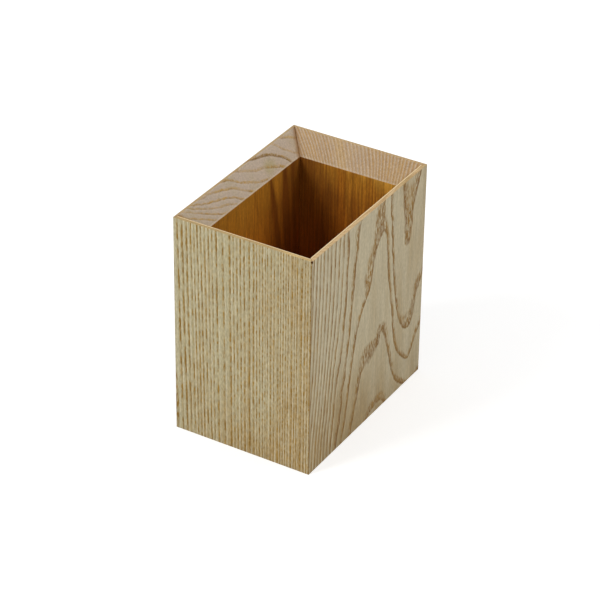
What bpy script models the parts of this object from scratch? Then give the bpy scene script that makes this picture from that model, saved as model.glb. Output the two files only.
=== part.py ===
"""A pen stand of solid ash: four boards with upright grain, mitred at the corners, stand round a floor panel.

The panel's tongue sits in a groove that runs round the inner faces near the foot. The mouth is planed to a
slope on all four sides, from a narrow flat land at the rim down to the inner faces.

All lengths are in metres. X runs along the front, Y runs from front to back, and Z runs up. The origin is the
middle of the footprint, on the surface that the stand rests on.
"""

import math

import bmesh
import bpy
from mathutils import Matrix

# Overall size
WIDTH = 0.070
DEPTH = 0.100
HEIGHT = 0.110

# Walls
WALL_THICKNESS = 0.009
EASING = 0.0005  # leg of the small flat that breaks the outer edges

# Sloping mouth: each wall keeps a flat land at the rim, and the slopes end at one level all round
SLOPE_DROP = 0.010
FRONT_LAND = 0.0017
RIGHT_LAND = 0.0022
BACK_LAND = 0.0017
LEFT_LAND = 0.0013

# Floor panel
PANEL_THICKNESS = 0.006
PANEL_LIFT = 0.004  # height of the panel's underside
TONGUE_THICKNESS = 0.003
TONGUE_LENGTH = 0.003

# Clearances
GLUE_LINE = 0.0003  # between the two faces of a mitre
PANEL_CLEARANCE = 0.0003  # round the panel and its tongue
TONGUE_END_CLEARANCE = 0.0005  # room for the panel to swell
CUT_OVERRUN = 0.002

# Finish of the bare, fine sanded wood
ASH_COLOURS = {
    "front_wall": (0.50, 0.37, 0.21),
    "right_wall": (0.45, 0.36, 0.23),
    "back_wall": (0.46, 0.34, 0.20),
    "left_wall": (0.43, 0.33, 0.20),
    "base_panel": (0.44, 0.31, 0.17),
}
ASH_ROUGHNESS = 0.6


def clear_scene():
    """Removes whatever the scene holds."""
    for obj in list(bpy.data.objects):
        bpy.data.objects.remove(obj, do_unlink=True)


def ash(name):
    """A wood finish in the colour of the named piece."""
    material = bpy.data.materials.new(name + "_ash")
    material.use_nodes = True
    shader = material.node_tree.nodes["Principled BSDF"]
    shader.inputs["Base Color"].default_value = (*ASH_COLOURS[name], 1)
    shader.inputs["Roughness"].default_value = ASH_ROUGHNESS
    shader.inputs["Metallic"].default_value = 0
    return material


def loft(name, rings):
    """An object whose skin joins rings of equally many points, from the lowest ring to the highest.

    Each ring is a list of points that runs anticlockwise as seen from above."""
    mesh = bpy.data.meshes.new(name)
    shape = bmesh.new()
    loops = [[shape.verts.new(point) for point in ring] for ring in rings]
    for lower, upper in zip(loops, loops[1:]):
        for here in range(len(lower)):
            after = (here + 1) % len(lower)
            shape.faces.new((lower[here], lower[after], upper[after], upper[here]))
    shape.faces.new(reversed(loops[0]))
    shape.faces.new(loops[-1])
    shape.to_mesh(mesh)
    shape.free()
    obj = bpy.data.objects.new(name, mesh)
    bpy.context.collection.objects.link(obj)
    return obj


def rectangle(left, right, front, back, height):
    """The corners of a level rectangle between four sides."""
    return [(left, front, height), (right, front, height), (right, back, height), (left, back, height)]


def centred_rectangle(width, depth, height):
    """The corners of a level rectangle round the stand's upright axis."""
    return rectangle(-width / 2, width / 2, -depth / 2, depth / 2, height)


def mark_as_cutter(obj):
    """Keeps a cutting shape out of the finished model."""
    obj.hide_render = True
    obj.display_type = "WIRE"
    return obj


def mouth_cutter():
    """The sloping mouth: a plane on each side through the inner edge of the land and the slope's lower edge.

    Each plane carries on past both edges by the overrun."""
    well_right = WIDTH / 2 - WALL_THICKNESS
    well_back = DEPTH / 2 - WALL_THICKNESS
    slope_foot = HEIGHT - SLOPE_DROP
    rings = []
    for height in (slope_foot - CUT_OVERRUN, HEIGHT + CUT_OVERRUN):
        rise_share = (height - slope_foot) / SLOPE_DROP
        rings.append(
            rectangle(
                -well_right - rise_share * (WALL_THICKNESS - LEFT_LAND),
                well_right + rise_share * (WALL_THICKNESS - RIGHT_LAND),
                -well_back - rise_share * (WALL_THICKNESS - FRONT_LAND),
                well_back + rise_share * (WALL_THICKNESS - BACK_LAND),
                height,
            )
        )
    return mark_as_cutter(loft("mouth_cutter", rings))


def groove_cutter():
    """The groove for the panel's tongue, cut round all four inner faces."""
    reach = 2 * (TONGUE_LENGTH + TONGUE_END_CLEARANCE - WALL_THICKNESS)
    levels = (PANEL_LIFT - PANEL_CLEARANCE, PANEL_LIFT + TONGUE_THICKNESS + PANEL_CLEARANCE)
    rings = [centred_rectangle(WIDTH + reach, DEPTH + reach, height) for height in levels]
    return mark_as_cutter(loft("groove_cutter", rings))


def wall_ring(length, inset, height):
    """The plan of a wall at one height, with its outer face towards -Y and its outside at the origin.

    The ends are mitred at 45 degrees and stand back by half the glue line. The outer corners are broken by
    half of the easing flat, whose other half is on the next wall. The inset draws the outside in."""
    half = length / 2
    set_back = GLUE_LINE / math.sqrt(2)
    tip = inset + (EASING - set_back) / 2
    return [
        (-half + inset + EASING, inset, height),
        (half - inset - EASING, inset, height),
        (half - set_back - tip, tip, height),
        (half - set_back - WALL_THICKNESS, WALL_THICKNESS, height),
        (-half + set_back + WALL_THICKNESS, WALL_THICKNESS, height),
        (-half + set_back + tip, tip, height),
    ]


def wall(name, length, distance, quarter_turns, cutters):
    """A mitred wall, its outer face at a distance from the upright axis, after quarter turns about it."""
    levels = ((EASING, 0), (0, EASING), (0, HEIGHT - EASING), (EASING, HEIGHT))
    board = loft(name, [wall_ring(length, inset, height) for inset, height in levels])
    turn = Matrix.Rotation(quarter_turns * math.pi / 2, 4, "Z")
    board.rotation_euler.z = quarter_turns * math.pi / 2
    board.location = turn @ Matrix.Translation((0, -distance, 0)).to_translation()
    for cutter in cutters:
        cut = board.modifiers.new(cutter.name, "BOOLEAN")
        cut.operation = "DIFFERENCE"
        cut.solver = "EXACT"
        cut.object = cutter
    board.data.materials.append(ash(name))
    return board


def base_panel():
    """The floor: a panel between the walls, rebated from above to leave a tongue along its lower edge."""
    body_inset = 2 * (WALL_THICKNESS + PANEL_CLEARANCE)
    tongue_inset = 2 * (WALL_THICKNESS - TONGUE_LENGTH)
    tongue_top = PANEL_LIFT + TONGUE_THICKNESS
    steps = (
        (tongue_inset, PANEL_LIFT),
        (tongue_inset, tongue_top),
        (body_inset, tongue_top),
        (body_inset, PANEL_LIFT + PANEL_THICKNESS),
    )
    panel = loft(
        "base_panel", [centred_rectangle(WIDTH - inset, DEPTH - inset, height) for inset, height in steps]
    )
    panel.data.materials.append(ash("base_panel"))
    return panel


def build():
    """Builds the walls anticlockwise from the front, then the floor between them."""
    clear_scene()
    stand = bpy.data.objects.new("pen_stand", None)
    bpy.context.collection.objects.link(stand)
    cutters = (mouth_cutter(), groove_cutter())
    pieces = [
        wall("front_wall", WIDTH, DEPTH / 2, 0, cutters),
        wall("right_wall", DEPTH, WIDTH / 2, 1, cutters),
        wall("back_wall", WIDTH, DEPTH / 2, 2, cutters),
        wall("left_wall", DEPTH, WIDTH / 2, 3, cutters),
        base_panel(),
    ]
    for piece in (*pieces, *cutters):
        piece.parent = stand


build()
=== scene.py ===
"""A mitred pen stand of solid ash, dressed for rendering.

Four boards with upright grain stand round a floor panel. Each board's growth rings are a field in the solid
wood, so a ring line that reaches the rim carries on over the land and down the slope of the mouth.
"""

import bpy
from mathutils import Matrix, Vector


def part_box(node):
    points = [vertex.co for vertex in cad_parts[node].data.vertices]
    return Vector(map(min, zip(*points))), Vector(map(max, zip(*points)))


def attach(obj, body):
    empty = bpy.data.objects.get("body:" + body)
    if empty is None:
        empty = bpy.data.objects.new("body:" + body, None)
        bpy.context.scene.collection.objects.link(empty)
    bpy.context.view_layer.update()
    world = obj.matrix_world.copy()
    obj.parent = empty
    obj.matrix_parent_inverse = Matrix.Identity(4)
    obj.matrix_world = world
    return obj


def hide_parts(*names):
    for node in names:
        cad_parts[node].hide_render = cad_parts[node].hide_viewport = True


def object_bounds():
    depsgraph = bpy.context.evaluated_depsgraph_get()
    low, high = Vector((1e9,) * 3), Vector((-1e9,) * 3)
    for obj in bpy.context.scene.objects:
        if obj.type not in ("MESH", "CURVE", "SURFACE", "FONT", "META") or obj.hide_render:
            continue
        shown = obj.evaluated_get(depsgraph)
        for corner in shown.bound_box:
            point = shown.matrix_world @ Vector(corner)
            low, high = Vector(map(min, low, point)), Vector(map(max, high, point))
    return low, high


bl_info = {
    "name": "Ash Pen Stand",
    "version": (1, 0, 0),
    "blender": (4, 5, 0),
    "location": "3D View > Sidebar > Pen Stand",
    "description": "Makes the boards, floor panel and studio of a mitred pen stand of solid ash",
    "category": "Mesh",
}

import math
from functools import partial, reduce

import bmesh
import bpy
import numpy as np
from bpy.props import FloatProperty, FloatVectorProperty, PointerProperty
from mathutils import Matrix, Vector

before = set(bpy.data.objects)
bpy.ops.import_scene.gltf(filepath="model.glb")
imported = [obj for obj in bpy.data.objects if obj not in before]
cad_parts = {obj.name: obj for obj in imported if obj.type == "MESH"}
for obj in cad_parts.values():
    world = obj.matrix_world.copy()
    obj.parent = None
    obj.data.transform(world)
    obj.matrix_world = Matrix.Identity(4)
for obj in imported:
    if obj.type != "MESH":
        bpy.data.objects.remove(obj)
CAD_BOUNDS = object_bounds()

MM = 0.001
PER_MM = 1 / MM

# Sizes read from the frame
LOWEST, HIGHEST = CAD_BOUNDS
WIDTH = HIGHEST.x - LOWEST.x
DEPTH = HIGHEST.y - LOWEST.y
HEIGHT = HIGHEST.z - LOWEST.z
WIDTH_MM, DEPTH_MM, HEIGHT_MM = (size * PER_MM for size in (WIDTH, DEPTH, HEIGHT))
FRONT_LOW, FRONT_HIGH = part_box("front_wall")
WALL_THICKNESS = FRONT_HIGH.y - FRONT_LOW.y
PANEL_LOW, PANEL_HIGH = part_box("base_panel")
TONGUE_LENGTH = PANEL_HIGH.x - (HIGHEST.x - WALL_THICKNESS)

# Growth lines of the right board's outer face, as drawn: (number, ((millimetres from the front corner,
# millimetres down from the rim), ...)). The number of a line falls by one for each ring outwards in the tree.
RIGHT_GROWTH_LINES = (
    (-11, ((2, 0), (1, 30), (0, 50))),
    (-9, ((7.5, 0), (6, 40), (3.5, 72), (-0.5, 108))),
    (-6, ((16.5, 0), (15.5, 30), (12.7, 60), (9.8, 85), (7.5, 108))),
    (-4, ((24, 0), (23, 18), (22.2, 32), (20.6, 45), (18.6, 57), (17.2, 67), (16, 77), (14.9, 88),
          (12.6, 108))),
    (-3, ((27, 0), (26.5, 18), (25.6, 32), (23.8, 45), (21.8, 57), (20, 67), (18.9, 77), (17.9, 88),
          (15.8, 108))),
    (-2, ((30.8, 0), (30.4, 20), (29.7, 38), (28.3, 50), (27.2, 58), (25.7, 65), (23.8, 71), (22.3, 77))),
    (-2, ((21.2, 85), (20.4, 92), (19.5, 100), (18.5, 108))),
    (-2, ((78.4, 0), (79.2, 8), (80, 15), (81, 22), (82.2, 28), (83.6, 34), (84.6, 36))),
    (-2, ((85.8, 33), (87.1, 27), (88.3, 21), (89.8, 13.5), (92, 7), (94.6, 0))),
    (-1, ((42.3, 0), (39.3, 13), (37.2, 24), (35.6, 37), (34.4, 48), (33, 58), (31.4, 66), (30, 76))),
    (-1, ((28.1, 88), (26.2, 97), (23.6, 107))),
    (-1, ((67, 0), (67.8, 10), (69, 20), (70, 30), (71.2, 40), (72.8, 49), (74.2, 56), (75.6, 62),
          (77.3, 68))),
    (-1, ((81, 75), (84, 78.5), (87, 79.5), (90.6, 77), (92.8, 71), (94.5, 64), (97.5, 59.5))),
    (0, ((28.4, 108), (31.7, 94.5), (33.4, 86.5), (35.3, 76.5), (36.8, 69), (39, 59.5), (41.5, 53),
          (44, 48))),
    (0, ((46.6, 45), (49, 42.2), (51.2, 38.7), (52.5, 34), (53.5, 29), (55, 24.3), (57, 20.2), (59.5, 17))),
    (0, ((62, 16), (64, 18), (65.2, 23), (66.1, 31), (66.8, 39), (67.8, 45), (69.3, 51), (71, 60), (72, 66))),
    (0, ((73, 73.5), (74.8, 81), (77.8, 87.5), (82, 92.5), (87.5, 96.8), (92.2, 92.5), (94.5, 89.5),
          (99, 84))),
    (1, ((36.9, 107), (39.4, 99), (41.1, 93), (42.9, 87), (44.6, 82), (47, 79.5), (52, 79), (57, 76.5),
          (60, 73))),
    (1, ((62, 70), (64, 70), (65.8, 73), (68, 79.5), (69.5, 84.5), (71.5, 91), (73.7, 97), (76.8, 102.5),
          (82, 107.5))),
    (2, ((51, 109.5), (56, 107), (60, 106), (64, 106.5), (67, 110))),
    (0.5, ((60, 43),)), (0.8, ((61.5, 62),)), (-0.45, ((55, 0),)), (0.85, ((91, 110), (99, 107))),
    (-2.6, ((86, 0),)), (-2.35, ((85.5, 12),)), (-2.2, ((84.8, 24),)), (-2.12, ((84.6, 29.5),)),
    (-2.05, ((84.6, 33.5),)), (-1.9, ((84.8, 41),)), (-1.5, ((84.8, 58), (99, 25))),
)
# Places on that face where the porous early wood lies nearly flush and spreads: (from the front corner, down
# from the rim, half width, half height, share of a ring added)
RIGHT_FLUSH_PATCHES = (
    (59, 7, 6, 10, 0.60), (60, 0, 4, 5, 0.40), (47, 31, 4, 9, 0.30), (52, 23, 4, 7, 0.22),
    (62.5, 68, 3.5, 4.5, 0.25), (50.5, 75, 7, 6, 0.34), (86.5, 7, 6, 12, 0.50), (84.5, 23, 3, 6, 0.30),
    (84.5, 34, 2, 5, 0.35), (86, 72, 6, 6, 0.30), (95, 60, 4, 5, 0.26), (59, 104, 9, 4, 0.10),
    (97, 88, 3, 5, 0.16),
)

# Growth lines of the front board's outer face, read at one height: (millimetres from the left corner, strength)
FRONT_READ_AT = 45
FRONT_GROWTH_LINES = (
    (0.5, 1.1), (3.0, 1.05), (5.4, 1.1), (7.6, 1.05), (9.8, 0.8), (11.3, 1), (13.1, 1), (14.8, 1.05),
    (16.8, 0.75), (18.6, 0.75), (20.4, 0.7), (22.7, 1), (26, 0.7), (29.5, 1.1), (31.1, 0.75), (32.9, 0.75),
    (34.7, 0.9), (36.6, 0.85), (39.2, 1.1), (41.3, 0.9), (42.7, 0.85), (44.2, 0.8), (45.8, 0.85), (47, 0.6),
    (48.1, 0.75), (50, 0.8), (51.5, 0.7), (53.6, 0.7), (54.8, 1), (56.1, 0.75), (57.4, 0.7), (58.5, 0.75),
    (60.6, 0.8), (61.8, 0.6), (62.9, 0.8), (65.4, 0.8), (66.9, 0.75), (68.2, 0.7), (69.5, 0.75),
)

# Growth lines of the left board's slope, as drawn in plan: (number, ((millimetres from the front corner,
# millimetres behind the outer face), ...))
LEFT_GROWTH_LINES = (
    (0, ((3, 1.7), (4.5, 2.8), (7.6, 4), (12.9, 5.7), (16.4, 6.9), (19.9, 8.1))),
    (-1, ((6, 1.3), (9.8, 2.6), (13.6, 3.9), (18.2, 5.6), (23.1, 7.1), (26.9, 8.3))),
    (-2, ((11, 1.8), (15.2, 3.1), (19.6, 4.4), (25.6, 5.9), (30.7, 6.7), (34.8, 7.6), (37.6, 8.4))),
    (-3, ((13.3, 1.5), (17.8, 2.6), (22.3, 3.6), (27.4, 4.4), (31.8, 5.1), (36.3, 6.1), (39.8, 7.1),
          (41.9, 8.2))),
    (-4, ((25, 1.5), (30.4, 2.4), (34.5, 3.1), (39.3, 4), (42.8, 5.1), (46, 6.5), (49.9, 8.1))),
    (-5, ((36.2, 1.1), (40.7, 1.8), (43.9, 3.1), (47.1, 4.5), (51.6, 5.8), (55.7, 6.9), (59.9, 7.9))),
    (-6, ((48.3, 1.3), (50.8, 2.1), (56, 3.4), (60.1, 4.6), (64.2, 5), (67.6, 5.7), (71.7, 6.8), (76.2, 8))),
    (-7, ((60.3, 1.2), (64.7, 1.9), (69.1, 2.5), (73.3, 3.4), (76.7, 4.6), (79.6, 5.9), (82.1, 7.3),
          (83.2, 8.3))),
    (-8, ((79, 1.4), (83.4, 4.3), (86.3, 5.7), (89.5, 7.3))),
    (-9, ((86, 1.3), (89.8, 2.4), (94, 3.7))),
)

# Light and dark streaks of the wood inside the well: (millimetres from the left or front corner at the
# top, millimetres it moves per millimetre down, half width, tone: above 0 golden, below 0 dark)
LEFT_WELL_STREAKS = (
    (17, 0, 4, -0.05), (24, 0, 2, -0.10), (28, 0, 1.5, 0.04), (35.5, 0.01, 0.6, -0.16), (38, 0.01, 1.2, 0.10),
    (43, 0.03, 3.5, 0.10), (47, 0, 0.8, -0.08), (51, 0.02, 1.5, 0.05), (55, 0.02, 0.8, -0.08),
    (59, 0.05, 1.5, 0.05),
    (65.5, 0.20, 1.7, -0.62), (71, 0.12, 1.8, 0.10), (77.3, 0.09, 2.3, -0.70), (81, 0.06, 1.0, 0.12),
    (85, 0.05, 1.2, -0.25), (81, 0, 5, -0.13),
)
BACK_WELL_STREAKS = (
    (15, 0, 1.2, -0.10), (21, 0, 0.8, -0.08), (27, 0, 1.0, 0.06), (31, 0, 0.7, 0.10), (34.5, 0, 0.9, 0.16),
    (37.5, 0.02, 1.0, -0.16), (42, 0.03, 1.3, 0.10), (46, 0.04, 0.8, -0.12), (50, 0.04, 1.5, 0.12),
    (56, 0.04, 3, 0.22),
    (31.5, 0, 3, 0.12),
)

# How strongly single rings show: ring numbers, and the strength of each
RIGHT_RING_STRENGTHS = ((-12, -8, -5, -4, -3, -2, -1, 0, 1, 2),
    (0.7, 0.6, 0.7, 0.65, 0.65, 0.9, 1.1, 1, 1.1, 1))
BACK_RING_STRENGTHS = ((-36, -19, -18, -9, -8, 0), (1, 1, 0.72, 0.72, 1, 1))
LEFT_RING_STRENGTHS = ((-9, -8, -7, -6, -5, -4, -3, -2, -1, 0),
    (0.8, 0.5, 1.3, 1.05, 0.9, 0.9, 0.9, 0.6, 0.9, 0.8))

# Sides of a wall's section, in the order that wall_section gives them
FOOT, FOOT_FACE, GROOVE_FLOOR, GROOVE_END, GROOVE_ROOF, WELL, SLOPE, LAND, OUTSIDE_RIM, OUTSIDE = range(10)


# Settings that a user would change


def metres(name, description, default):
    """A length setting."""
    return FloatProperty(name=name, description=description, default=default, unit="LENGTH")


def degrees(name, description, default):
    """An angle setting."""
    return FloatProperty(name=name, description=description, default=math.radians(default), subtype="ANGLE")


def watts(name, description, default):
    """A setting for the power of a lamp."""
    return FloatProperty(name=name, description=description, default=default, unit="POWER")


def swatch(name, description, default):
    """A setting for a linear colour."""
    return FloatVectorProperty(
        name=name, description=description, default=default, subtype="COLOR", min=0, max=1, size=3
    )


class PenStandSizes(bpy.types.PropertyGroup):
    """Sizes that the boards' and the floor's meshes are made with"""

    slope_drop: metres("Slope Drop", "Height of the sloping mouth", 0.010)
    front_land: metres("Front Land", "Flat left at the front rim", 0.0017)
    right_land: metres("Right Land", "Flat left at the right rim", 0.0022)
    back_land: metres("Back Land", "Flat left at the back rim", 0.0017)
    left_land: metres("Left Land", "Flat left at the left rim", 0.0013)
    arris: metres("Arris", "Radius of the sanded outer edges", 0.0002)
    inner_arris: metres("Inner Arris", "Radius of the edges of the mouth", 0.00015)
    mitre_gap: metres("Mitre Gap", "Width of a closed mitre joint", 0.00005)
    open_tip: metres("Open Tip", "Gap at the tip of the front right mitre", 0.0005)
    groove_clearance: metres("Groove Clearance", "Room round the floor's tongue", 0.0003)
    mesh_step: metres("Mesh Step", "Longest step of the face grids", 0.0007)


class PenStandColours(bpy.types.PropertyGroup):
    """Colours that the finishes of the wood are mixed from"""

    front_pale: swatch("Front Pale", "Late wood of the front board", (0.492, 0.430, 0.256))
    front_tan: swatch("Front Tan", "Warmer late wood of the front board", (0.412, 0.284, 0.122))
    front_bright: swatch("Front Bright", "Brightest late wood of the front", (0.640, 0.580, 0.400))
    right_pale: swatch("Right Pale", "Late wood of the right board", (0.540, 0.458, 0.292))
    right_tan: swatch("Right Tan", "Warmer late wood of the right board", (0.375, 0.265, 0.116))
    right_bright: swatch("Right Bright", "Brightest late wood of the right side", (0.720, 0.680, 0.480))
    flat_slope: swatch("Flat Slope", "Late wood of a flat sawn slope", (0.565, 0.455, 0.348))
    flat_slope_tan: swatch("Flat Slope Tan", "Yellower wood of a flat sawn slope", (0.480, 0.395, 0.225))
    flat_slope_bright: swatch("Flat Slope Bright", "Brightest wood of it", (0.640, 0.550, 0.440))
    flat_slope_line: swatch("Flat Slope Line", "Early wood on a flat sawn slope", (0.350, 0.200, 0.055))
    flat_slope_line_warm: swatch("Golden Flat Slope Line", "Golden early wood there", (0.540, 0.330, 0.080))
    rift_slope: swatch("Rift Slope", "Late wood of a rift sawn slope", (0.437, 0.316, 0.205))
    rift_slope_tan: swatch("Rift Slope Tan", "Yellower wood of a rift sawn slope", (0.510, 0.345, 0.160))
    rift_slope_bright: swatch("Rift Slope Bright", "Brightest wood of it", (0.560, 0.440, 0.300))
    rift_slope_line: swatch("Rift Slope Line", "Early wood on a rift sawn slope", (0.385, 0.235, 0.100))
    rift_slope_line_warm: swatch("Golden Rift Slope Line", "Golden early wood there", (0.470, 0.280, 0.100))
    # Painted highlight along the lower edge of the slopes
    slope_edge: swatch("Slope Edge", "Pale lower edge of the slopes", (0.680, 0.570, 0.420))
    slope_joint: swatch("Slope Joint", "Oil along the mitre on the slopes", (0.280, 0.140, 0.040))
    front_land: swatch("Front Land", "Cut grain ends at the front rim", (0.425, 0.302, 0.132))
    # Painted highlight: the front rim's land turns towards this paler tone towards its right end
    front_land_tan: swatch("Front Land Tan", "Those of warmer late wood", (0.760, 0.550, 0.225))
    right_land: swatch("Right Land", "Cut grain ends at the right rim", (0.645, 0.455, 0.235))
    right_land_tan: swatch("Right Land Tan", "Those of warmer late wood", (0.300, 0.210, 0.060))
    back_land: swatch("Back Land", "Cut grain ends at the back rim", (0.520, 0.370, 0.190))
    left_land: swatch("Left Land", "Cut grain ends at the left rim", (0.440, 0.310, 0.150))
    # Painted highlight along the inner edge of the front and right rims
    land_edge: swatch("Land Edge", "Pale inner edge of the front and right rims", (0.850, 0.650, 0.370))
    land_line: swatch("Land Line", "Early wood where it crosses a rim", (0.420, 0.235, 0.085))
    line: swatch("Growth Line", "Porous early wood", (0.205, 0.100, 0.020))
    line_warm: swatch("Warm Growth Line", "Orange tint of some early wood", (0.310, 0.170, 0.035))
    front_line: swatch("Front Growth Line", "Early wood of the front", (0.235, 0.125, 0.014))
    front_line_warm: swatch("Warm Front Line", "Golden early wood of the front", (0.335, 0.195, 0.035))
    pore: swatch("Pore", "Open vessels", (0.140, 0.075, 0.028))
    seam: swatch("Seam", "Wood that the glue of a mitre has darkened", (0.300, 0.140, 0.035))
    # Also painted as the shade inside the open tip of the front right mitre
    joint: swatch("Joint", "Dark line of a mitre joint", (0.130, 0.042, 0.005))
    # The wood inside the well is given deeper, more orange colours than outside
    well_pale: swatch("Well Pale", "Oiled late wood inside the well", (0.470, 0.208, 0.019))
    # Also the colour of the painted light on the right of the back board's well face
    well_gold: swatch("Well Gold", "Golden late wood inside the well", (0.760, 0.405, 0.056))
    well_tan: swatch("Well Tan", "Darker oiled late wood inside the well", (0.405, 0.156, 0.012))
    # Also the colour that painted shade in the well darkens towards, in its corners and its dark streaks
    well_line: swatch("Well Line", "Oiled early wood inside the well", (0.150, 0.042, 0.003))
    # Painted shade: the well turns towards this redder, darker tone low down
    well_deep: swatch("Well Deep", "Oiled wood low in the well", (0.560, 0.160, 0.007))


class PenStandStudio(bpy.types.PropertyGroup):
    """Light and camera"""

    sky: FloatProperty(name="Sky", description="Strength of the even light", default=0.42)
    key_power: watts("Key Light", "Soft box at front left", 11.8)
    fill_power: watts("Fill Light", "Soft box at back right", 5.0)
    camera_distance: metres("Camera Distance", "From camera to aim point", 1.13275)
    camera_azimuth: degrees("Camera Azimuth", "Turn to the right of the front", 30.80)
    camera_elevation: degrees("Camera Elevation", "Height above the level", 32.01)
    camera_roll: degrees("Camera Roll", "Turn about the line of sight", 0.81)
    camera_aim: FloatVectorProperty(
        name="Camera Aim", description="Point in the middle of the picture",
        default=(0.00006, -0.00099, 0.05359), unit="LENGTH",
    )
    camera_lens: FloatProperty(name="Camera Lens", description="Focal length in millimetres", default=150.9)


# Growth rings, warmth and streaks; warmth and streaks also carry painted light and shade. Places are in
# millimetres:
# from the left or front corner of the stand, behind the outer face, and down from the rim. Streaks go by the
# first and by how far below the slope they are.


def climb(value, start, end):
    """A straight climb from 0 at the start to 1 at the end, and level outside them."""
    return np.clip((value - start) / (end - start), 0, 1)


def swell(first, second, centre, half_sizes):
    """A smooth hump of height 1: e to the minus squared distance from its centre, in half sizes."""
    across = (first - centre[0]) / half_sizes[0]
    along = (second - centre[1]) / half_sizes[1]
    return np.exp(-(across**2) - along**2)


def plate_spline(lines, stiffness=1.0):
    """A smooth field through the points of drawn growth lines, as a function that also gives its slopes.

    The field is a thin plate spline: a plane plus, for each drawn point, a weight times r squared times the
    logarithm of r squared, with r the distance to that point. The weights solve a linear system that makes
    the field equal to each line's number along that line."""
    points = np.array([point for _, line in lines for point in line], float)
    numbers = np.array([number for number, line in lines for _ in line], float)
    count = len(points)

    def logarithm(squared):
        return np.log(np.maximum(squared, 1e-12))

    squared = ((points[:, None] - points[None]) ** 2).sum(-1)
    system = np.zeros((count + 3, count + 3))
    system[:count, :count] = squared * logarithm(squared) + stiffness * np.eye(count)
    system[:count, count] = 1
    system[:count, count + 1 :] = points
    system[count:, :count] = system[:count, count:].T
    weights = np.linalg.solve(system, np.concatenate([numbers, np.zeros(3)]))

    def field(first, second):
        """The field's value and its slopes along the first and second length."""
        value = weights[count] + weights[count + 1] * first + weights[count + 2] * second
        first_slope = np.full(first.shape, weights[count + 1])
        second_slope = np.full(first.shape, weights[count + 2])
        for (x, y), weight in zip(points, weights):
            away_x, away_y = first - x, second - y
            squared = away_x**2 + away_y**2
            log = logarithm(squared)
            value = value + weight * squared * log
            first_slope = first_slope + weight * 2 * away_x * (log + 1)
            second_slope = second_slope + weight * 2 * away_y * (log + 1)
        return value, first_slope, second_slope

    return field


def right_rings(from_front, depth, down):
    """Ring number in the right board, from the growth lines drawn on its outer face.

    Rings lie a fixed distance apart, measured square to themselves, so the ring number grows with depth by
    the root of what the two slopes along the face leave of the squared ring density."""
    ring_width, least_rate, half_line = 2.3, 0.08, 0.5
    face, slope_along, slope_down = plate_spline(RIGHT_GROWTH_LINES)(from_front, down)
    left_over = ring_width**-2 - slope_along**2 - slope_down**2
    inward = depth * np.sqrt(np.maximum(left_over, least_rate**2))
    return face + inward - half_line * np.hypot(slope_along, slope_down)


def right_flush(from_front, depth, down):
    """Extra share of early wood where it lies flush with the outer face, fading with depth."""
    fading_depth = 2
    humps = [
        share * swell(from_front, down, (x, y), (half_x, half_y))
        for x, y, half_x, half_y, share in RIGHT_FLUSH_PATCHES
    ]
    return sum(humps) * np.exp(-depth / fading_depth)


def left_rings(from_front, depth, down):
    """Ring number in the left board: lines drawn in plan on its slope, drawn down through the board.

    Going down, the drawn lines settle into even flat rings, and below the rim the tree swells and leans,
    which closes the lines of the outer face into arches."""
    ring_width, half_line, settling = 9.5, 0.4, 0.25
    plan, slope_along, slope_inward = plate_spline(LEFT_GROWTH_LINES)(from_front, depth)
    below = np.maximum(down - 8, 0) / 100
    even = (2 * depth - from_front) / ring_width
    plan += (even - plan) * (1 - np.exp(-((below / settling) ** 2)))
    arches = 3.6 * below * swell(from_front, down, (60, 75), (13, 60))
    lean = 0.7 * below * swell(from_front, down, (22, 110), (20, 70))
    return plan + arches - lean - half_line * np.hypot(slope_along, slope_inward)


def front_rings(from_left, depth, down):
    """Ring number in the rift sawn front board, interpolated between the growth lines read on its face.

    The lines lean to the right going down, by 1.8 percent at the left corner and less to the right."""
    half_line = 0.3
    lean = 0.018 * np.clip(1 - from_left / 55, 0.1, 1)
    at_reading = from_left - lean * (down - FRONT_READ_AT) - 0.3 * depth - half_line
    places = [place for place, _ in FRONT_GROWTH_LINES]
    return np.interp(at_reading, places, np.arange(len(places)))


def back_rings(from_left, depth, down):
    """Ring number in the back board: rings stand square to the face at the right and lean at the left."""
    ring_width = 2.0
    lean = np.interp(from_left, (0, 12, 30, 45, 60, 70), (1.6, 1.5, 1.05, 0.8, 0.2, 0))
    at_face = from_left - lean * depth + 0.01 * down
    return -at_face / ring_width - 0.25 * np.sin(at_face / 9)


def panel_rings(across, along, level):
    """Ring number in the flat sawn floor panel: circles about a pith far below it, wavy along the grain."""
    pith_depth, ring_width = 60, 2.6
    from_pith = across + 6 + 3 * np.sin(along / 31)
    return -np.hypot(from_pith, level + pith_depth + 0.06 * along) / ring_width


def front_warmth(from_left, depth, down):
    """The front board's late wood turns warmer to the right, and on the rim that rise paints a highlight towards
    the right end. Its darkening towards the foot, most of all close to it, is painted shade.
    """
    rightward, lower = 2 * from_left / WIDTH_MM - 1, down / HEIGHT_MM
    return 0.2 + 0.28 * rightward + 0.1 * lower + (0.42 + 0.2 * rightward) * lower**4


def right_warmth(from_front, depth, down):
    """The right board's late wood turns warmer at the upper back. Towards its foot it is darkened, most at the
    front: painted shade.
    """
    backward, lower = from_front / DEPTH_MM, down / HEIGHT_MM
    return 0.05 + (1.35 - backward) * lower**3 + 0.3 * climb(backward, 0.6, 0.8) * (1 - lower**2)


def left_warmth(from_front, depth, down):
    """Late wood of one even tone, but for a yellower patch between two rings and a warmer front end."""
    return 0.15 + 0.22 * climb(from_front, 24, 12) + 0.75 * swell(from_front, depth, (70, 6), (5, 1.9))


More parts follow.
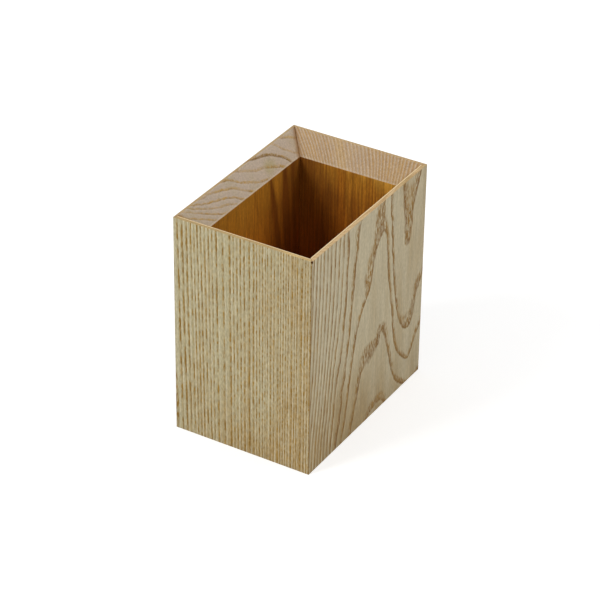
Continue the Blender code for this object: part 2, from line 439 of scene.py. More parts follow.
def back_warmth(from_left, depth, down):
    """The back board's late wood has one broad yellow band and a narrower one near its right end."""
    broad = np.exp(-(((from_left - 0.8 * depth - 24) / 2.2) ** 2))
    narrow = np.exp(-(((from_left - 0.15 * depth - 58) / 1.5) ** 2))
    return 0.1 + 0.2 * climb(from_left, 0, 40) + 0.9 * broad + 0.35 * narrow


def streak_tone(place, below, streaks):
    """The summed tones of a board's streaks: each a hump across the grain that leans as it runs down."""
    humps = [
        tone * np.exp(-(((place - start - lean * below) / half_width) ** 2))
        for start, lean, half_width, tone in streaks
    ]
    return sum(humps)


def no_streaks(place, below):
    """A well face without streaks."""
    return np.zeros(place.shape)


def left_streaks(from_front, below):
    """Tones of the left board's well face: its streaks, and painted shade that darkens it towards the back
    corner as it runs down.
    """
    # Painted shade: darker close to the back corner, and darker down the well towards it
    corner = climb(from_front, 76, 84)
    dusk = 0.58 * climb(from_front, 51, 67) * climb(below, 0, 17)
    return streak_tone(from_front, below, LEFT_WELL_STREAKS) - 0.45 * corner - (1 - corner) * dusk


def back_streaks(from_left, below):
    """Tones of the back board's well face: its streaks, painted light that turns it golden to the right, and
    painted shade in the left corner, to the left and lower down.
    """
    # Painted shade in the left corner, to the left and lower down; painted light to the right
    corner = climb(from_left, 24, 12)
    corner_dusk = 0.56 - 0.22 * climb(below, 0, 25)
    dusk = 0.15 * climb(from_left, 34, 22) + 0.6 * climb(below, 0, 15)
    gold = 0.38 * climb(from_left, 30, 55)
    streaks = streak_tone(from_left, below, BACK_WELL_STREAKS)
    return streaks - corner_dusk * corner - (1 - corner) * dusk + gold


# Meshes


def rounded_outline(corners, radii, steps, arc_steps=4):
    """Points and side numbers of a closed outline with arcs at its corners.

    An arc starts and ends at radius over the tangent of half the corner's angle from the corner. Between its
    first spoke a and last spoke b, an angle f apart, a share t along it the spoke is
    (a sin((1 - t) f) + b sin(t f)) / sin(f). A side between two arcs is split evenly."""
    corners = np.array(corners, float)
    count = len(corners)
    starts, ends, arcs = [], [], []
    for here in range(count):
        corner = corners[here]
        before = corners[here - 1] - corner
        after = corners[(here + 1) % count] - corner
        before /= np.linalg.norm(before)
        after /= np.linalg.norm(after)
        if not radii[here]:
            starts.append(corner)
            ends.append(corner)
            arcs.append(np.zeros((0, 2)))
            continue
        half_angle = math.acos(np.clip(before @ after, -1, 1)) / 2
        tangent = radii[here] / math.tan(half_angle)
        middle = (before + after) / np.linalg.norm(before + after)
        centre = corner + middle * radii[here] / math.sin(half_angle)
        starts.append(corner + before * tangent)
        ends.append(corner + after * tangent)
        turn = math.pi - 2 * half_angle
        share = np.arange(1, arc_steps)[:, None] / arc_steps
        first, last = starts[-1] - centre, ends[-1] - centre
        spoke = (first * np.sin((1 - share) * turn) + last * np.sin(share * turn)) / math.sin(turn)
        arcs.append(centre + spoke)
    points, sides = [], []
    for here in range(count):
        following = (here + 1) % count
        start, end = ends[here], starts[following]
        pieces = max(1, math.ceil(np.linalg.norm(end - start) / steps[here]))
        points.append(start + (end - start) * np.arange(pieces)[:, None] / pieces)
        if radii[following]:
            points += [end[None], arcs[following]]
        sides.append(np.full(sum(map(len, points)) - sum(map(len, sides)), here))
    return np.concatenate(points), np.concatenate(sides)


def wall_section(sizes, land):
    """The closed section of a wall, as (depth behind the outer face, height), and the side of each point."""
    thick, top = WALL_THICKNESS, HEIGHT
    room = sizes.groove_clearance
    groove_low = PANEL_LOW.z - room
    groove_high = PANEL_LOW.z + (PANEL_HIGH.z - PANEL_LOW.z) / 2 + room
    groove_back = thick - TONGUE_LENGTH - room
    corners = (
        (0, 0),
        (thick, 0),
        (thick, groove_low),
        (groove_back, groove_low),
        (groove_back, groove_high),
        (thick, groove_high),
        (thick, top - sizes.slope_drop),
        (land, top),
        (0, top),
        (0, top - 3 * MM),
    )
    fine, coarse = sizes.mesh_step, 3 * sizes.mesh_step
    sharp, edge = sizes.inner_arris, sizes.arris
    radii = (edge, sharp, 0, 0, 0, 0, sharp, sharp, edge, 0)
    steps = (coarse, coarse, coarse, coarse, coarse, fine, fine / 2, fine / 2, fine / 4, fine)
    return rounded_outline(corners, radii, steps)


def board_grid(sizes, length, section):
    """The surface of a mitred board as arrays of place: along the board, depth and height.

    The section is carried along the board. A section point at some depth ends where it meets the mitre, at
    half the length less its depth. Near the outside the ends follow the rounded corner of the stand: an arc of
    the arris radius less the depth, about a centre one arris radius in from both outer faces."""
    depth, height = section[:, 0], section[:, 1]
    reach = length / 2 - sizes.mitre_gap / 2 - np.maximum(depth, sizes.arris)
    columns = math.ceil(length / sizes.mesh_step)
    along = np.linspace(-1, 1, columns + 1)[:, None] * reach
    inward = np.broadcast_to(depth, along.shape)
    angles = np.linspace(0, math.pi / 4, 5)[1:, None]
    radius = np.maximum(sizes.arris - depth, 0)
    far = reach + radius * np.sin(angles)
    rounded = np.where(depth < sizes.arris, sizes.arris - radius * np.cos(angles), depth)
    along = np.concatenate([-far[::-1], along, far])
    inward = np.concatenate([rounded[::-1], inward, rounded])
    return along, inward, np.broadcast_to(height, along.shape)


def tip_opening(length, grid, end):
    """How far a joint is open at each point, from 0 to 1: a hump at the tip of the mitre at one end."""
    along, inward, level = grid
    half_width, middle, half_height, reach = 0.45 * MM, 0.5 * MM, 0.7 * MM, MM
    away = (length / 2 - end * along) / half_width
    below = (HEIGHT - middle - level) / half_height
    return np.exp(-(away**2) - below**2 - (inward / reach) ** 2)


def grid_faces(index):
    """Four-sided faces between the rows and columns of an array of vertex numbers."""
    return np.stack([index[:-1, :-1], index[:-1, 1:], index[1:, 1:], index[1:, :-1]], -1).reshape(-1, 4)


def board_mesh(name, grid, sides, turns, outward):
    """A closed mesh over a board's grid, with flat mitre faces at both ends, turned into place.

    A quarter turn takes (x, y) to (-y, x)."""
    along, inward, level = grid
    rows, columns = along.shape
    place = np.stack([along, inward - outward, level], -1).reshape(-1, 3)
    turn = np.array(Matrix.Rotation(turns * math.pi / 2, 3, "Z")).round()
    index = np.arange(rows * columns).reshape(rows, columns)
    quads = grid_faces(np.pad(index, ((0, 0), (0, 1)), "wrap"))
    mesh = bpy.data.meshes.new(name)
    mesh.from_pydata(place @ turn.T, [], [*quads.tolist(), index[-1].tolist(), index[0, ::-1].tolist()])
    slots = np.broadcast_to(slot_of_side(sides), (rows - 1, columns)).reshape(-1)
    mesh.polygons.foreach_set("material_index", np.concatenate([slots, [0, 0]]).astype(np.int32))
    return mesh


def slot_of_side(side):
    """Material slot of a section side: 0 outside and hidden, 1 slope, 2 land, 3 well."""
    return np.select([side == SLOPE, side == LAND, side == WELL], [1, 2, 3], 0)


def set_attributes(mesh, **fields):
    """Stores the numbers of each field at the vertices, for the materials to read."""
    for name, values in fields.items():
        everywhere = np.broadcast_to(np.ravel(values), len(mesh.vertices))
        layer = mesh.attributes.new(name, "FLOAT", "POINT")
        layer.data.foreach_set("value", np.ascontiguousarray(everywhere, np.float32))


def surface_slope(field, grid):
    """How fast a field changes along the surface, per millimetre: the root of the summed squares of its
    change along the grid's two directions, each over the distance between neighbours."""
    places = np.stack(grid, -1) * PER_MM
    total = 0
    for axis in (0, 1):
        step = np.roll(places, -1, axis) - np.roll(places, 1, axis)
        change = np.roll(field, -1, axis) - np.roll(field, 1, axis)
        distance = np.maximum(np.linalg.norm(step, axis=-1), 1e-6)
        total = total + (change / distance) ** 2
    slope = np.sqrt(total)
    slope[0], slope[-1] = slope[1], slope[-2]
    return slope


def early_wood(rings, strength, grid, line_width, ring_spacing, extra):
    """Share of a ring that shows as a dark line, and the width of that line in millimetres.

    A line is about as wide everywhere, wider where it is strong, and up to 2.2 times as wide where the rings
    run along the surface. Its share of the ring is its width times the ring number's slope along the surface."""
    least_slope, widening, least_share, most_share, most_width = 0.01, 1.2, 0.05, 0.8, 12
    slope = np.maximum(surface_slope(rings, grid), least_slope)
    flatness = 1 - np.clip(slope * ring_spacing, 0, 1)
    width = line_width * (1 + widening * flatness) * (0.5 + 0.5 * strength)
    share = np.clip(width * slope + extra, least_share, most_share)
    return share, np.minimum(share / slope, most_width)


def finish_mesh(mesh):
    """Merges what the grids' closed seams and corners doubled, and shades faces smooth up to sharp edges."""
    merge_distance, sharp_from = 1e-7, math.radians(28)
    shape = bmesh.new()
    shape.from_mesh(mesh)
    bmesh.ops.remove_doubles(shape, verts=shape.verts, dist=merge_distance)
    shape.to_mesh(mesh)
    shape.free()
    mesh.shade_smooth()
    mesh.set_sharp_from_angle(angle=sharp_from)


def add_piece(name, mesh, materials, node):
    """Shows a mesh as a piece that stands for a CAD node."""
    finish_mesh(mesh)
    for material in materials:
        mesh.materials.append(material)
    piece = bpy.data.objects.new(name, mesh)
    bpy.context.collection.objects.link(piece)
    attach(piece, "root")
    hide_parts(node)


def make_board(
    name, node, turns, land, rings, warmth, look, flush=None, streaks=no_streaks, open_end=0
):
    """Makes one wall of the stand, some quarter turns round from the front: its mesh, the fields that its wood
    is drawn from, and its finishes."""
    sizes = bpy.context.scene.pen_stand_sizes
    length, outward = (DEPTH, WIDTH / 2) if turns % 2 else (WIDTH, DEPTH / 2)
    section, sides = wall_section(sizes, land)
    grid = board_grid(sizes, length, section)
    opening = tip_opening(length, grid, open_end)
    grid = (grid[0] - open_end * opening * sizes.open_tip / 2, *grid[1:])
    along, depth, level = (values * PER_MM for values in grid)
    half_length = length * PER_MM / 2
    down = HEIGHT_MM - level
    place = (half_length + along if turns < 2 else half_length - along, depth, down)
    ring_field = rings(*place)
    strength = np.interp(ring_field + 0.1, *look["ring_strengths"])
    extra = flush(*place) if flush else 0
    share, width = early_wood(ring_field, strength, grid, look["line_width"], look["ring_spacing"], extra)
    mesh = board_mesh(name, grid, sides, turns, outward)
    set_attributes(
        mesh,
        growth_ring=ring_field,
        early_share=share,
        early_width=width,
        warmth=warmth(*place),
        joint_distance=(half_length - depth - np.abs(along)) / math.sqrt(2),
        joint_opening=opening,
        ring_strength=strength,
        inward=depth,
        # In the back and left wells this field also carries painted light and shade
        streak=streaks(place[0], down - sizes.slope_drop * PER_MM),
    )
    add_piece(name, mesh, ash_finishes(name, look), node)


def make_floor_panel(name, node):
    """Makes the floor panel: a rebated outline carried from the underside to the top, with a grid over each.

    The outline is a rectangle whose half sizes are the panel's own, less the rebate above the tongue."""
    sizes = bpy.context.scene.pen_stand_sizes
    body_x = WIDTH / 2 - WALL_THICKNESS - sizes.mitre_gap
    body_y = DEPTH / 2 - WALL_THICKNESS - sizes.mitre_gap
    low, high = PANEL_LOW.z, PANEL_HIGH.z
    middle = (low + high) / 2
    step = sizes.mesh_step * 1.5
    across, along = (np.linspace(-1, 1, max(2, math.ceil(2 * half / step))) for half in (body_x, body_y))
    plan = np.stack(np.meshgrid(across, along), -1)
    rim = np.concatenate([plan[0, :-1], plan[:-1, -1], plan[-1, :0:-1], plan[:0:-1, 0], plan[:1, 0]])
    levels = (
        (PANEL_HIGH.x, PANEL_HIGH.y, low),
        (PANEL_HIGH.x, PANEL_HIGH.y, middle),
        (body_x, body_y, middle),
        (body_x, body_y, high),
    )

    def at_level(outline, level):
        return np.concatenate([outline * level[:2], np.full((*outline.shape[:-1], 1), level[2])], -1)

    skirt = np.stack([at_level(rim, level) for level in levels])
    grids = (skirt, at_level(plan.swapaxes(0, 1), levels[0]), at_level(plan, levels[-1]))
    faces, count = [], 0
    for grid in grids:
        rows, columns = grid.shape[:2]
        faces.append(grid_faces(count + np.arange(rows * columns).reshape(rows, columns)))
        count += rows * columns
    vertices = np.concatenate([grid.reshape(-1, 3) for grid in grids])
    mesh = bpy.data.meshes.new(name)
    mesh.from_pydata(vertices, [], np.concatenate(faces).tolist())
    set_attributes(
        mesh, growth_ring=panel_rings(*(vertices * PER_MM).T), early_share=0.22, early_width=1, warmth=0.45,
        joint_distance=50, joint_opening=0, ring_strength=1, streak=-0.3,
    )
    # The floor panel takes the well's finish, with its painted shade low down
    look = board_look((29.3, 31.1, 1.0), "front", "back_land", rift_sawn_slope())
    oiled = ash_material("floor_panel_oiled", {**look["common"], **look["well"]}, grain_axis="Y")
    add_piece(name, mesh, [oiled], node)


# Materials


class NodeMaker:
    """Adds shader nodes to a material and wires them as it goes."""

    def __init__(self, material):
        material.use_nodes = True
        self.tree = material.node_tree
        self.tree.nodes.clear()

    def add(self, kind, inputs=None, **settings):
        """A node whose inputs are linked where the value is a socket and set where it is a constant."""
        node = self.tree.nodes.new("ShaderNode" + kind)
        for key, value in settings.items():
            setattr(node, key, value)
        for key, value in (inputs or {}).items():
            if isinstance(value, bpy.types.NodeSocket):
                self.tree.links.new(value, node.inputs[key])
            else:
                node.inputs[key].default_value = value
        return node

    def math(self, operation, first, second=0.0, clamp=False):
        """The result of one sum."""
        return self.add("Math", {0: first, 1: second}, operation=operation, use_clamp=clamp).outputs[0]

    def attribute(self, name):
        """A field stored at the vertices."""
        return self.add("Attribute", attribute_name=name).outputs["Fac"]

    def ramp(self, value, low, high, at_low=0.0, at_high=1.0):
        """A smooth step from one value to another while the input runs from low to high."""
        inputs = {"Value": value, "From Min": low, "From Max": high, "To Min": at_low, "To Max": at_high}
        return self.add("MapRange", inputs, interpolation_type="SMOOTHSTEP").outputs["Result"]

    def mix(self, share, first, second, blend="MIX"):
        """A colour mixed from two."""
        node = self.add("Mix", {0: share, 6: first, 7: second}, data_type="RGBA", blend_type=blend)
        return node.outputs[2]

    def place(self, axis):
        """The object's own coordinate along an axis, in metres."""
        coordinates = self.add("TexCoord").outputs["Object"]
        return self.add("SeparateXYZ", {0: coordinates}).outputs[axis]

    def noise(self, scale, detail, offset):
        """Noise in object space whose scale is given per millimetre along X, Y and Z."""
        inputs = {
            "Vector": self.add("TexCoord").outputs["Object"],
            "Scale": tuple(per_mm * PER_MM for per_mm in scale),
            "Location": offset,
        }
        mapped = self.add("Mapping", inputs).outputs[0]
        return self.add("TexNoise", {"Vector": mapped, "Scale": 1.0, "Detail": detail}).outputs["Fac"]


def ash_material(name, look, grain_axis="Z"):
    """Ash wood: rings from the growth_ring field, vessels and fibres from noise drawn out along the grain.

    A ring's early wood lies just below each whole number of the field and fades towards lower numbers."""
    material = bpy.data.materials.new(name)
    maker = NodeMaker(material)
    attribute, ramp, mix = maker.attribute, maker.ramp, maker.mix
    plus, minus, over = (partial(maker.math, operation) for operation in ("ADD", "SUBTRACT", "DIVIDE"))
    share, width, strength = (attribute(field) for field in ("early_share", "early_width", "ring_strength"))

    def noise(across, along, detail=2.0):
        """Noise of so many grains per millimetre across and along the wood's own grain."""
        scale = [along if axis == grain_axis else across for axis in "XYZ"]
        return maker.noise(scale, detail, look["offset"])

    def times(*factors):
        """The product of all the factors."""
        return reduce(partial(maker.math, "MULTIPLY"), factors)

    # Early wood: a ring wanders slowly, starts at a fairly sharp edge and ends ragged from vessel to vessel
    wander = times(minus(noise(0.22, 0.03), 0.5), look["wander"])
    unevenness = minus(noise(2.4, 0.13), 0.5)
    number = plus(plus(attribute("growth_ring"), wander), times(unevenness, share, look["uneven_start"]))
    whole = maker.math("CEIL", number)
    fading = over(minus(whole, number), share)
    ragged_end = plus(fading, times(unevenness, look["ragged_end"]))
    band = times(ramp(ragged_end, 0.5, 1.1, 1.0, 0.0), ramp(fading, 0.0, 0.15))

    # Along the grain each ring's line is stronger and weaker in its own way, as it reads its own row of noise
    between_rings = 7.31
    rate = plus(times(whole, look["break_rate_growth"] * PER_MM), look["break_rate"] * PER_MM)
    of_ring = {0: times(whole, between_rings), 1: times(maker.place(grain_axis), rate)}
    of_ring = maker.add("CombineXYZ", of_ring).outputs[0]
    breaks = maker.add("TexNoise", {"Vector": of_ring, "Scale": 1.0, "Detail": 1.5}).outputs["Fac"]
    breaks = ramp(breaks, 0.38, look["full_break"], look["weakest_break"], 1.0)
    patchy = ramp(noise(0.5, 0.05), 0.32, 0.62, look["weakest_patch"], 1.0)
    least = ramp(times(fading, width), 0.6, 2.0, look["weakest_vessel"], 0.0)
    vessels = ramp(noise(1.9, 0.3), 0.42, 0.54, least, 1.0)
    line = times(band, strength, breaks, patchy, vessels)
    line = maker.math("MULTIPLY", line, look["line_strength"], clamp=True)

    # Late wood: loose vessels and fibres between the lines
    warmth = attribute("warmth")
    loose = times(ramp(noise(2.4, 0.3), 0.52, 0.64), ramp(warmth, 0.0, 1.0, 0.4, 1.6), look["speckle"])
    pores = ramp(noise(4.5, 0.4), 0.56, 0.68)
    pore_share = times(pores, ramp(line, 0.0, 1.0, look["pore_share"] * 0.3, look["pore_share"]))
    fibres = ramp(noise(look["fibre_density"], 0.07, 3.0), 0.25, 0.75, 1 - look["fibre"], 1 + look["fibre"])
    flecks = ramp(noise(1.8, 0.55, 3.0), 0.3, 0.7, 1 - look["fleck"], 1 + look["fleck"])
    uneven_warmth = plus(warmth, times(minus(noise(0.13, 0.02), 0.5), 1.2))
    # The tan share also holds painted shade near the feet of the front and right boards, and a painted highlight
    # on the front rim
    colour = mix(ramp(uneven_warmth, 0.0, 1.0), look["pale"], look["tan"])

    # Colour of the lines, and a bright streak on the sharp side of each
    patches = ramp(noise(0.35, 0.06), 0.38, 0.62, 0.0, 0.6)
    orange = plus(patches, ramp(fading, 0.1, 0.7, 0.0, 0.6), clamp=True)
    line_colour = mix(orange, look["line"], look["line_warm"])
    line_colour = mix(ramp(strength, 1.0, 1.3, 0.0, 0.6), line_colour, look["pore"])
    if "bright" in look:
        past_edge = times(over(minus(1.0, times(fading, share)), share), width)
        beside_line = times(ramp(past_edge, 0.0, 0.2), ramp(past_edge, 0.35, look["bright_width"], 1.0, 0.0))
        where_close = ramp(over(width, share), 3.0, 7.0, 1.0, 0.2)
        uneven = ramp(noise(0.9, 0.08), 0.35, 0.6, 0.25, 1.0)
        colour = mix(times(beside_line, where_close, uneven, look["bright_share"]), colour, look["bright"])
    colour = mix(loose, colour, line_colour)
    colour = mix(line, colour, line_colour)
    colour = mix(pore_share, colour, look["pore"])

    # The well: golden and dark streaks that also carry painted light and shade, and painted shade lower down in
    # a redder, darker tone
    if "deep" in look:
        streak = attribute("streak")
        colour = mix(ramp(streak, 0.0, 0.6), colour, look["gold"])
        # Painted shade: redder and darker low in the well
        colour = mix(ramp(maker.place("Z"), 0.1, 0.045, 0.0, look["deep_share"]), colour, look["deep"])
        colour = mix(ramp(streak, 0.0, -0.9, 0.0, 0.9), colour, look["line"])

    # A painted highlight along an inner edge, with a hairline beside it
    if "edge" in look:
        from_edge = minus(look["edge_at"], attribute("inward"))
        colour = mix(ramp(from_edge, 0.3, 0.65, look["edge_share"], 0.0), colour, look["edge"])
        hairline = times(ramp(from_edge, 0.5, 0.7), ramp(from_edge, 0.8, 1.05, look["hairline"], 0.0))
        colour = mix(hairline, colour, look["line_warm"])

    # Fibres, then glue along the joints, widened in the well into painted shade of its corners, and painted
    # shade in the open tip of a mitre
    grey = times(fibres, flecks)
    colour = mix(1.0, colour, maker.add("CombineColor", {0: grey, 1: grey, 2: grey}).outputs[0], "MULTIPLY")
    joint, opening = attribute("joint_distance"), attribute("joint_opening")
    colour = mix(ramp(joint, 0.0, look["soak_width"], look["soak"], 0.0), colour, look["soak_tone"])
    colour = mix(ramp(joint, 0.1, look["seam_width"], look["seam"], 0.0), colour, look["joint"])
    # Painted shade inside the open tip of the front right mitre, in the joint's dark colour
    colour = mix(ramp(opening, 0.1, 0.6), colour, look["joint"])

    lowered = plus(times(pores, 0.5), times(line, 0.2))
    height = minus(times(noise(3.2, 0.07), 0.4), lowered)
    bump = maker.add("Bump", {"Strength": 0.25, "Distance": 0.05 * MM, "Height": height})
    surface = {
        "Base Color": colour,
        "Roughness": ramp(line, 0.0, 1.0, 0.52, 0.68),
        "Normal": bump.outputs[0],
        "Specular IOR Level": ramp(opening, 0.1, 0.6, 0.3, 0.0),
    }
    maker.add("OutputMaterial", {"Surface": maker.add("BsdfPrincipled", surface).outputs[0]})
    return material


def ash_finishes(name, look):
    """A board's four finishes: outside, slope, land and well."""
    return [
        ash_material(f"{name}_{surface}", {**look["common"], **look[surface]})
        for surface in ("outside", "slope", "land", "well")
    ]


def shades(**names):
    """Colour settings, looked up by name, as a shader takes them."""
    colours = bpy.context.scene.pen_stand_colours
    return {key: (*getattr(colours, name), 1) for key, name in names.items()}


def sawn_slope(family, **settings):
    """The slope of a board in one family of tones, with a painted highlight along its lower edge."""
    tones = shades(
        pale=family, tan=f"{family}_tan", bright=f"{family}_bright", line=f"{family}_line",
        line_warm=f"{family}_line_warm", joint="slope_joint", edge="slope_edge",
    )
    lower_edge = WALL_THICKNESS * PER_MM
    return dict(tones, pore_share=0.12, fleck=0.12, edge_at=lower_edge, hairline=0.0, **settings)


def flat_sawn_slope():
    """The slope of a flat sawn board: wide golden lines on pinkish late wood, with a marked painted highlight
    along its lower edge.
    """
    return sawn_slope(
        "flat_slope", line_strength=1.15, weakest_break=0.5, weakest_vessel=0.35, speckle=0.16,
        bright_share=0.4, edge_share=0.6,
    )


def rift_sawn_slope():
    """The slope of a rift sawn board: fine close lines on tan late wood, with a faint painted highlight along
    its lower edge.
    """
    return sawn_slope(
        "rift_slope", line_strength=1.1, weakest_break=0.7, weakest_vessel=0.75, speckle=0.14,
        bright_share=0.75, soak=0.5, soak_width=1.8, edge_share=0.25,
    )


def board_look(offset, family, land_tone, slope, **changes):
    """The settings of a board's finishes. Its family, front or right, names the late wood of the outside."""
    look = {
        "common": dict(
            shades(line="line", line_warm="line_warm", pore="pore", joint="joint", soak_tone="seam"),
            offset=offset, wander=0.2, uneven_start=0.5, ragged_end=1.6, break_rate=0.10,
            break_rate_growth=0.0, full_break=0.5, weakest_break=0.7, weakest_patch=0.8,
            weakest_vessel=0.75, line_strength=1.0, speckle=0.14, pore_share=0.22, fibre=0.06,
            fibre_density=3.2, fleck=0.07, bright_share=0.7, bright_width=1.0, soak=0.0, soak_width=2.0,
            seam=0.3, seam_width=0.3,
        ),
        "outside": shades(pale=f"{family}_pale", tan=f"{family}_tan", bright=f"{family}_bright"),
        "slope": slope,
        "land": dict(
            shades(pale=land_tone, tan=land_tone, line="land_line", line_warm="land_line"),
            fleck=0.06, line_strength=0.7,
        ),
        "well": dict(
            shades(
                pale="well_pale", tan="well_tan", line="well_line", line_warm="well_line", pore="well_line",
                gold="well_gold", deep="well_deep", soak_tone="well_line",
            ),
            # In the well the soak along the joints is painted shade of the corners, 12 mm wide
            line_strength=0.3, deep_share=0.85, soak=0.35, soak_width=12.0, fibre=0.26, fibre_density=1.3,
            fleck=0.12,
        ),
        "line_width": 1.6,
        "ring_spacing": 2.4,
        "ring_strengths": ((0,), (1,)),
    }
    for key, value in changes.items():
        look[key] = {**look[key], **value} if isinstance(value, dict) else value
    return look


# Operators


class PENSTAND_OT_front_board(bpy.types.Operator):
    """Make the rift sawn front board"""

    bl_idname = "pen_stand.front_board"
    bl_label = "Front Board"

    def execute(self, context):
        land = context.scene.pen_stand_sizes.front_land
        strengths = [strength for _, strength in FRONT_GROWTH_LINES]
        look = board_look(
            (3.1, 7.7, 0.0), "front", "front_land", rift_sawn_slope(),
            common=dict(
                shades(line="front_line", line_warm="front_line_warm"),
                break_rate=0.11, break_rate_growth=0.012, full_break=0.6, weakest_break=0.28,
                weakest_patch=0.85, weakest_vessel=0.35, speckle=0.35, line_strength=1.75, fleck=0.15,
            ),
            land=dict(
                shades(tan="front_land_tan", edge="land_edge"),
                edge_at=land * PER_MM, edge_share=1.0, hairline=0.3,
            ),
            line_width=0.85, ring_spacing=1.6, ring_strengths=(range(len(strengths)), strengths),
        )
        make_board(
            "front_board", "front_wall", 0, land, front_rings, front_warmth, look, open_end=1
        )
        return {"FINISHED"}


class PENSTAND_OT_right_board(bpy.types.Operator):
    """Make the flat sawn right board, with its arched grain"""

    bl_idname = "pen_stand.right_board"
    bl_label = "Right Board"

    def execute(self, context):
        land = context.scene.pen_stand_sizes.right_land
        look = board_look(
            (11.3, 2.9, 5.0), "right", "right_land", flat_sawn_slope(),
            common=dict(
                wander=0.08, bright_share=0.6, bright_width=1.3, weakest_break=0.6, weakest_patch=0.75,
                weakest_vessel=0.6, fleck=0.09,
            ),
            outside=dict(line_strength=1.5, fibre=0.10, fibre_density=1.6),
            land=dict(
                shades(tan="right_land_tan", edge="land_edge"),
                edge_at=land * PER_MM, edge_share=1.0, hairline=0.5,
            ),
            line_width=1.5, ring_strengths=RIGHT_RING_STRENGTHS,
        )
        make_board(
            "right_board", "right_wall", 1, land, right_rings, right_warmth, look,
            flush=right_flush, open_end=-1,
        )
        return {"FINISHED"}


class PENSTAND_OT_back_board(bpy.types.Operator):
    """Make the rift sawn back board"""

    bl_idname = "pen_stand.back_board"
    bl_label = "Back Board"

    def execute(self, context):
        land = context.scene.pen_stand_sizes.back_land
        look = board_look(
            (17.9, 13.1, 9.0), "front", "back_land", rift_sawn_slope(),
            well=dict(line_strength=0.45),
            line_width=1.1, ring_spacing=2.0, ring_strengths=BACK_RING_STRENGTHS,
        )
        make_board(
            "back_board", "back_wall", 2, land, back_rings, back_warmth, look,
            streaks=back_streaks,
        )
        return {"FINISHED"}


class PENSTAND_OT_left_board(bpy.types.Operator):
    """Make the flat sawn left board"""

    bl_idname = "pen_stand.left_board"
    bl_label = "Left Board"

    def execute(self, context):
        land = context.scene.pen_stand_sizes.left_land
        look = board_look(
            (23.7, 19.9, 2.0), "right", "left_land",
            dict(flat_sawn_slope(), soak=0.8, soak_width=2.6, seam=0.9, seam_width=0.6),
            common=dict(wander=0.1),
            line_width=1.65, ring_spacing=8, ring_strengths=LEFT_RING_STRENGTHS,
        )
        make_board(
            "left_board", "left_wall", 3, land, left_rings, left_warmth, look,
            streaks=left_streaks,
        )
        return {"FINISHED"}


class PENSTAND_OT_floor_panel(bpy.types.Operator):
    """Make the floor panel, with its tongue"""

    bl_idname = "pen_stand.floor_panel"
    bl_label = "Floor Panel"

    def execute(self, context):
        make_floor_panel("floor_panel", "base_panel")
        return {"FINISHED"}


class PENSTAND_OT_studio(bpy.types.Operator):
    """Make the floor, lamps, sky and camera"""

    bl_idname = "pen_stand.studio"
    bl_label = "Studio"

    def execute(self, context):
        studio = context.scene.pen_stand_studio
        make_ground()
        make_sky(studio)
        make_lamps(studio)
        make_camera(studio)
        context.scene.view_settings.view_transform = "Standard"
        return {"FINISHED"}


# Studio


def make_ground():
    """A large pale floor. It looks white to the camera, and still takes the stand's soft shadow."""
    half, paper_grey, glow_strength = 2.0, 0.7, 0.55
    corners = [(-half, -half, 0), (half, -half, 0), (half, half, 0), (-half, half, 0)]
    mesh = bpy.data.meshes.new("ground")
    mesh.from_pydata(corners, [], [(0, 1, 2, 3)])
    material = bpy.data.materials.new("ground_paper")
    maker = NodeMaker(material)
    paper = maker.add("BsdfDiffuse", {"Color": (paper_grey, paper_grey, paper_grey, 1)})
    glow = maker.add("Emission", {"Color": (1, 1, 1, 1), "Strength": seen_directly(maker, glow_strength)})
    both = maker.add("AddShader", {0: paper.outputs[0], 1: glow.outputs[0]})
    maker.add("OutputMaterial", {"Surface": both.outputs[0]})
    mesh.materials.append(material)
    ground = bpy.data.objects.new("ground", mesh)
    bpy.context.collection.objects.link(ground)


def seen_directly(maker, strength):
    """The strength for rays from the camera, mirrors and glass, and 0 for the light that falls on things."""
    path = maker.add("LightPath")
    seen = maker.math("MAXIMUM", path.outputs["Is Camera Ray"], path.outputs["Is Glossy Ray"])
    seen = maker.math("MAXIMUM", seen, path.outputs["Is Transmission Ray"])
    return maker.math("MULTIPLY", seen, strength)


def make_sky(studio):
    """An even white sky of modest strength, which the camera sees as plain white."""
    world = bpy.data.worlds.new("studio_sky")
    bpy.context.scene.world = world
    maker = NodeMaker(world)
    strength = maker.math("ADD", seen_directly(maker, 1 - studio.sky), studio.sky)
    sky = maker.add("Background", {"Color": (1, 1, 1, 1), "Strength": strength})
    maker.add("OutputWorld", {"Surface": sky.outputs[0]})


def make_lamps(studio):
    """Two high soft boxes that face the stand, at front left and back right."""
    target = Vector((0, 0, HEIGHT / 2))
    box_size = 0.6
    for name, place, power in (
        ("key_box", (-0.65, -1.0, 1.0), studio.key_power),
        ("fill_box", (0.85, 0.4, 0.95), studio.fill_power),
    ):
        lamp = bpy.data.lights.new(name, "AREA")
        lamp.size = box_size
        lamp.energy = power
        box = bpy.data.objects.new(name, lamp)
        box.location = place
        box.rotation_euler = (target - Vector(place)).to_track_quat("-Z", "Y").to_euler()
        bpy.context.collection.objects.link(box)


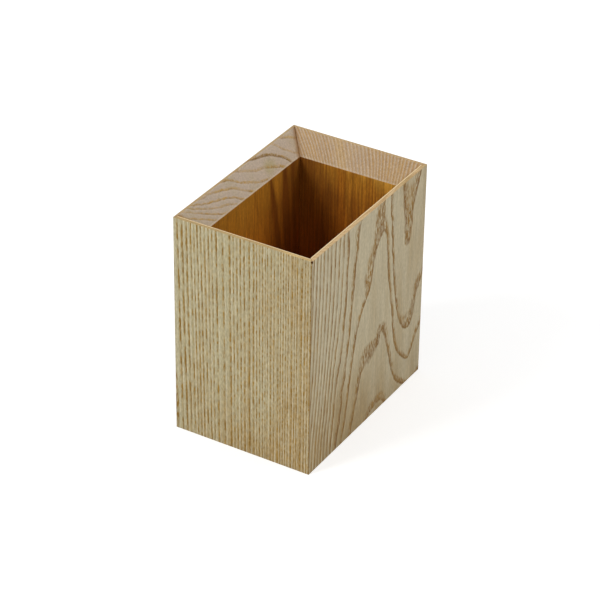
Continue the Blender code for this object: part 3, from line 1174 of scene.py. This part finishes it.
def make_camera(studio):
    """A long lens camera on a sphere about its aim point, given by azimuth, elevation and roll."""
    camera = bpy.data.objects.new("camera", bpy.data.cameras.new("camera"))
    camera.data.lens = studio.camera_lens
    camera.data.sensor_width = 36.0
    azimuth, elevation = studio.camera_azimuth, studio.camera_elevation
    back = Vector((
        math.sin(azimuth) * math.cos(elevation),
        -math.cos(azimuth) * math.cos(elevation),
        math.sin(elevation),
    ))
    aim = (-back).to_track_quat("-Z", "Y").to_matrix()
    roll = Matrix.Rotation(studio.camera_roll, 3, "Z")
    turned = (aim @ roll).to_4x4()
    turned.translation = Vector(studio.camera_aim) + back * studio.camera_distance
    camera.matrix_world = turned
    bpy.context.collection.objects.link(camera)
    bpy.context.scene.camera = camera


# Panel and registration


class PENSTAND_PT_panel(bpy.types.Panel):
    """Lists the pieces of the stand and their settings"""

    bl_idname = "PENSTAND_PT_panel"
    bl_label = "Pen Stand"
    bl_space_type = "VIEW_3D"
    bl_region_type = "UI"
    bl_category = "Pen Stand"

    def draw(self, context):
        layout = self.layout
        for operator in OPERATORS:
            layout.operator(operator.bl_idname)
        for settings in (
            context.scene.pen_stand_sizes,
            context.scene.pen_stand_colours,
            context.scene.pen_stand_studio,
        ):
            box = layout.box()
            for name in settings.__annotations__:
                box.prop(settings, name)


OPERATORS = (
    PENSTAND_OT_front_board,
    PENSTAND_OT_right_board,
    PENSTAND_OT_back_board,
    PENSTAND_OT_left_board,
    PENSTAND_OT_floor_panel,
    PENSTAND_OT_studio,
)
CLASSES = (PenStandSizes, PenStandColours, PenStandStudio, *OPERATORS, PENSTAND_PT_panel)


def register():
    """Registers the classes and hangs the settings on the scene."""
    for cls in CLASSES:
        bpy.utils.register_class(cls)
    bpy.types.Scene.pen_stand_sizes = PointerProperty(type=PenStandSizes)
    bpy.types.Scene.pen_stand_colours = PointerProperty(type=PenStandColours)
    bpy.types.Scene.pen_stand_studio = PointerProperty(type=PenStandStudio)


def unregister():
    """Takes the settings and the classes away again."""
    del bpy.types.Scene.pen_stand_studio
    del bpy.types.Scene.pen_stand_colours
    del bpy.types.Scene.pen_stand_sizes
    for cls in reversed(CLASSES):
        bpy.utils.unregister_class(cls)


def main():
    """Makes every piece and the studio."""
    register()
    bpy.ops.pen_stand.front_board()
    bpy.ops.pen_stand.right_board()
    bpy.ops.pen_stand.back_board()
    bpy.ops.pen_stand.left_board()
    bpy.ops.pen_stand.floor_panel()
    bpy.ops.pen_stand.studio()


if __name__ == "__main__":
    main()
